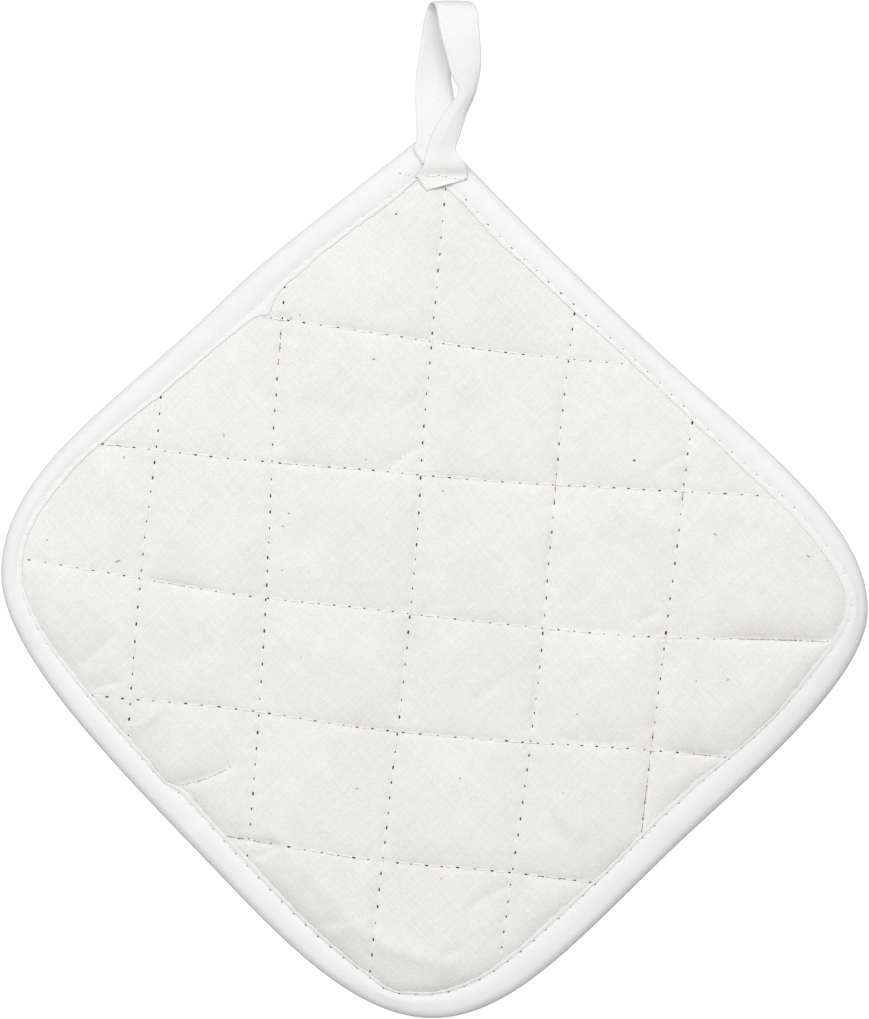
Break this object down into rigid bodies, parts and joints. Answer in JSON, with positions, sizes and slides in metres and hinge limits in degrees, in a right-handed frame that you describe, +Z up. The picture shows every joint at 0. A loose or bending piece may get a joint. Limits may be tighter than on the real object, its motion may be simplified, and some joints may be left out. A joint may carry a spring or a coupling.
{
  "type": "quilted pot holder",
  "caption": "Square quilted cotton pot holder with rounded corners, bias-tape binding and a folded hanging loop at one corner.",
  "frame": {"origin": "middle of the whole thing seen from above, loop included, on the surface that it lies on", "axes": "+Z up out of the quilted face, +Y towards the corner with the loop, +X to the right of that"},
  "size_m": [0.2488, 0.292, 0.0134],
  "materials": {
    "calico": "matte",
    "white_tape": "matte",
    "loop_tape": "matte"
  },
  "bodies": {
    "root": {"quilted_pad": "calico", "edge_binding": "white_tape", "hanging_loop": "loop_tape"}
  },
  "joints": []
}
